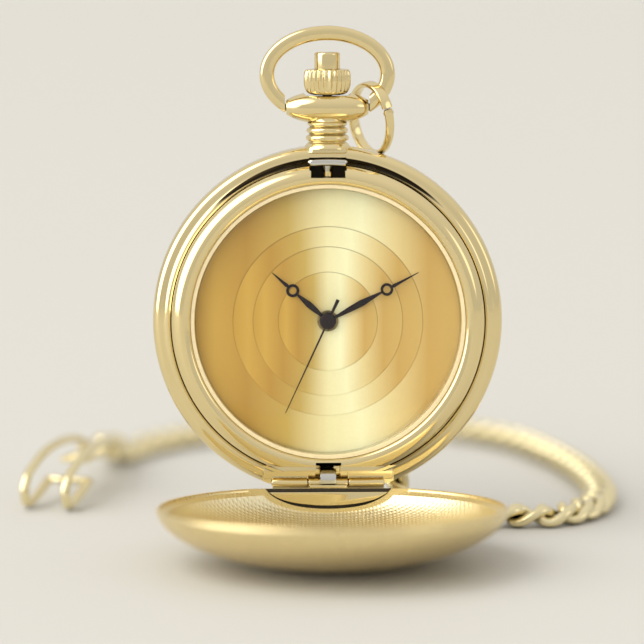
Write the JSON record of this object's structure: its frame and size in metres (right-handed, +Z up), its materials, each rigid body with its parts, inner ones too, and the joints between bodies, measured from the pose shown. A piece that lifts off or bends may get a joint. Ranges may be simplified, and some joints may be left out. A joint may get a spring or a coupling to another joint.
{
  "type": "pocket watch",
  "caption": "Quartz hunter-case pocket watch with a sprung hinged front cover, stepped dial, push-button crown and a link chain to a belt clip.",
  "frame": {"origin": "centre of the case back's flat face", "axes": "+Z up from the table, -Y towards the person reading the dial, +X to their right; the watch leans back 3 degrees about X"},
  "size_m": [0.0821, 0.132, 0.0688],
  "materials": {
    "polished_gold": "polished gold plate",
    "dial_gold": "satin gold, stepped in rings",
    "bright_steel": "bright spring steel",
    "dark_hands": "dark blued brown",
    "movement_brass": "plain brass",
    "movement_nickel": "nickel plated",
    "coil_copper": "enamelled copper wire",
    "movement_plastic": "moulded spacer",
    "circuit_board": "circuit board",
    "gasket": "pale seal",
    "crystal_glass": "clear domed crystal"
  },
  "bodies": {
    "case": {"case_band": "polished_gold", "case_back": "polished_gold", "back_gasket": "gasket", "bezel": "polished_gold", "crystal": "crystal_glass", "crystal_gasket": "gasket", "dial_ring": "bright_steel", "dial": "dial_gold", "case_hinge_knuckles": "polished_gold", "hinge_pin": "bright_steel", "lift_spring": "bright_steel", "latch_guide_pin": "polished_gold", "latch_spring": "bright_steel", "pendant": "polished_gold", "movement_ring": "movement_plastic", "main_plate": "movement_nickel", "train_bridge": "movement_nickel", "bridge_screw_1": "bright_steel", "bridge_screw_2": "bright_steel", "stator": "movement_nickel", "coil_core": "movement_nickel", "coil": "coil_copper", "circuit_board": "circuit_board", "quartz_can": "bright_steel", "battery": "bright_steel", "battery_clamp": "movement_brass"},
    "cover": {"front_cover": "polished_gold", "cover_hinge_leaf": "polished_gold"},
    "latch": {"latch_catch": "bright_steel"},
    "lever": {"setting_lever": "bright_steel"},
    "crown": {"crown": "polished_gold", "setting_stem": "bright_steel", "button_spring": "bright_steel"},
    "button": {"push_button": "polished_gold"},
    "seconds": {"seconds_hand": "dark_hands", "seconds_wheel": "movement_brass"},
    "minutes": {"minute_hand": "dark_hands", "center_wheel": "movement_brass"},
    "hours": {"hour_hand": "dark_hands", "hour_wheel": "movement_brass"},
    "third_wheel": {"third_wheel": "movement_brass"},
    "minute_wheel": {"minute_wheel": "movement_brass"},
    "intermediate_wheel": {"intermediate_wheel": "movement_brass"},
    "rotor": {"rotor": "movement_nickel"},
    "bow": {"bow": "polished_gold"},
    "hook": {"hook_body": "polished_gold"},
    "gate": {"hook_gate": "polished_gold"},
    "chain_1": {"chain_run_1": "polished_gold"},
    "chain_2": {"chain_run_2": "polished_gold"},
    "chain_3": {"chain_run_3": "polished_gold"},
    "chain_4": {"chain_run_4": "polished_gold"},
    "chain_5": {"chain_run_5": "polished_gold"},
    "chain_6": {"chain_run_6": "polished_gold"},
    "chain_7": {"chain_run_7": "polished_gold"},
    "chain_8": {"chain_run_8": "polished_gold"},
    "chain_9": {"chain_run_9": "polished_gold"},
    "clip": {"belt_clip": "polished_gold"},
    "tongue": {"clip_tongue": "polished_gold"}
  },
  "joints": [
    {"name": "cover_hinge", "type": "hinge", "parent": "case", "child": "cover", "pos_m": [0, -0.00894, -0.02146], "axis": [1, 0, 0], "range_deg": [-90, 0], "deforming": ["lift_spring"]},
    {"name": "stem_pull", "type": "slide", "parent": "case", "child": "lever", "axis": [0, 0.0523, 0.9986], "range_m": [0, 0.0012]},
    {"name": "crown_turn", "type": "hinge", "parent": "lever", "child": "crown", "pos_m": [0, -0.00417, 0.03126], "axis": [0, 0.0523, 0.9986], "continuous": true},
    {"name": "button_press", "type": "slide", "parent": "crown", "child": "button", "axis": [0, -0.0523, -0.9986], "range_m": [0, 0.0006], "deforming": ["button_spring"]},
    {"name": "latch_release", "type": "slide", "parent": "case", "child": "latch", "axis": [0, -0.0523, -0.9986], "range_m": [0, 0.0006]},
    {"name": "seconds_turn", "type": "hinge", "parent": "case", "child": "seconds", "pos_m": [0, -0.00579, 0.0003], "axis": [0, 0.9986, -0.0523], "continuous": true},
    {"name": "minutes_turn", "type": "hinge", "parent": "case", "child": "minutes", "pos_m": [0, -0.00579, 0.0003], "axis": [0, 0.9986, -0.0523], "continuous": true},
    {"name": "hours_turn", "type": "hinge", "parent": "case", "child": "hours", "pos_m": [0, -0.00579, 0.0003], "axis": [0, 0.9986, -0.0523], "continuous": true},
    {"name": "third_wheel_turn", "type": "hinge", "parent": "case", "child": "third_wheel", "pos_m": [0.00304, -0.00573, 0.00141], "axis": [0, 0.9986, -0.0523], "continuous": true},
    {"name": "minute_wheel_turn", "type": "hinge", "parent": "case", "child": "minute_wheel", "pos_m": [0.00153, -0.00593, -0.00235], "axis": [0, 0.9986, -0.0523], "continuous": true},
    {"name": "intermediate_wheel_turn", "type": "hinge", "parent": "case", "child": "intermediate_wheel", "pos_m": [-0.00273, -0.00584, -0.00069], "axis": [0, 0.9986, -0.0523], "continuous": true},
    {"name": "rotor_turn", "type": "hinge", "parent": "case", "child": "rotor", "pos_m": [-0.00356, -0.00596, -0.00299], "axis": [0, 0.9986, -0.0523], "continuous": true},
    {"name": "bow_swing", "type": "hinge", "parent": "case", "child": "bow", "pos_m": [0, -0.0043, 0.02886], "axis": [1, 0, 0], "range_deg": [-78, 4]},
    {"name": "hook_swing", "type": "hinge", "parent": "bow", "child": "hook", "pos_m": [0.0065, -0.00425, 0.02976], "axis": [1, 0, 0], "range_deg": [-4, 78]},
    {"name": "gate_open", "type": "hinge", "parent": "hook", "child": "gate", "pos_m": [0.00704, -0.00204, 0.02243], "axis": [-0.8403, -0.4972, -0.216], "range_deg": [0, 10]},
    {"name": "chain_sway", "type": "hinge", "parent": "hook", "child": "chain_1", "pos_m": [0.0067, 0.00057, 0.0204], "axis": [1, 0, 0], "range_deg": [0, 6]},
    {"name": "chain_lay", "type": "hinge", "parent": "chain_1", "child": "chain_2", "pos_m": [0.00963, 0.00246, -0.02248], "axis": [1, 0, 0], "range_deg": [-6, 0]},
    {"name": "chain_bend_3", "type": "hinge", "parent": "chain_2", "child": "chain_3", "pos_m": [0.02953, -0.00181, -0.0273], "axis": [0, 0, 1], "range_deg": [-10, 10]},
    {"name": "chain_bend_4", "type": "hinge", "parent": "chain_3", "child": "chain_4", "pos_m": [0.03869, 0.01779, -0.0273], "axis": [0, 0, -1], "range_deg": [-10, 10]},
    {"name": "chain_bend_5", "type": "hinge", "parent": "chain_4", "child": "chain_5", "pos_m": [0.03613, 0.04068, -0.0273], "axis": [0, 0, 1], "range_deg": [-10, 10]},
    {"name": "chain_bend_6", "type": "hinge", "parent": "chain_5", "child": "chain_6", "pos_m": [0.029, 0.06255, -0.0273], "axis": [0, 0, -1], "range_deg": [-10, 10]},
    {"name": "chain_bend_7", "type": "hinge", "parent": "chain_6", "child": "chain_7", "pos_m": [0.01123, 0.07602, -0.0273], "axis": [0, 0, 1], "range_deg": [-10, 10]},
    {"name": "chain_bend_8", "type": "hinge", "parent": "chain_7", "child": "chain_8", "pos_m": [-0.01106, 0.07257, -0.0273], "axis": [0, 0, -1], "range_deg": [-10, 10]},
    {"name": "chain_bend_9", "type": "hinge", "parent": "chain_8", "child": "chain_9", "pos_m": [-0.02693, 0.05642, -0.02746], "axis": [0, 0, 1], "range_deg": [-10, 10]},
    {"name": "clip_swing", "type": "hinge", "parent": "chain_9", "child": "clip", "pos_m": [-0.03061, 0.03482, -0.0243], "axis": [0, 0, 1], "range_deg": [-8, 8]},
    {"name": "clip_open", "type": "hinge", "parent": "clip", "child": "tongue", "pos_m": [-0.03227, 0.02989, -0.0235], "axis": [0.9472, -0.3206, 0], "range_deg": [0, 10]}
  ],
  "couplings": [
    {"joint": "latch_release", "follows": "button_press", "ratio": 1},
    {"joint": "minutes_turn", "follows": "seconds_turn", "ratio": 0.016667},
    {"joint": "hours_turn", "follows": "seconds_turn", "ratio": 0.0013889},
    {"joint": "third_wheel_turn", "follows": "seconds_turn", "ratio": -0.13333},
    {"joint": "minute_wheel_turn", "follows": "seconds_turn", "ratio": -0.0055556},
    {"joint": "intermediate_wheel_turn", "follows": "seconds_turn", "ratio": -6},
    {"joint": "rotor_turn", "follows": "seconds_turn", "ratio": 30},
    {"joint": "hook_swing", "follows": "bow_swing", "ratio": -1},
    {"joint": "chain_lay", "follows": "chain_sway", "ratio": -1}
  ]
}
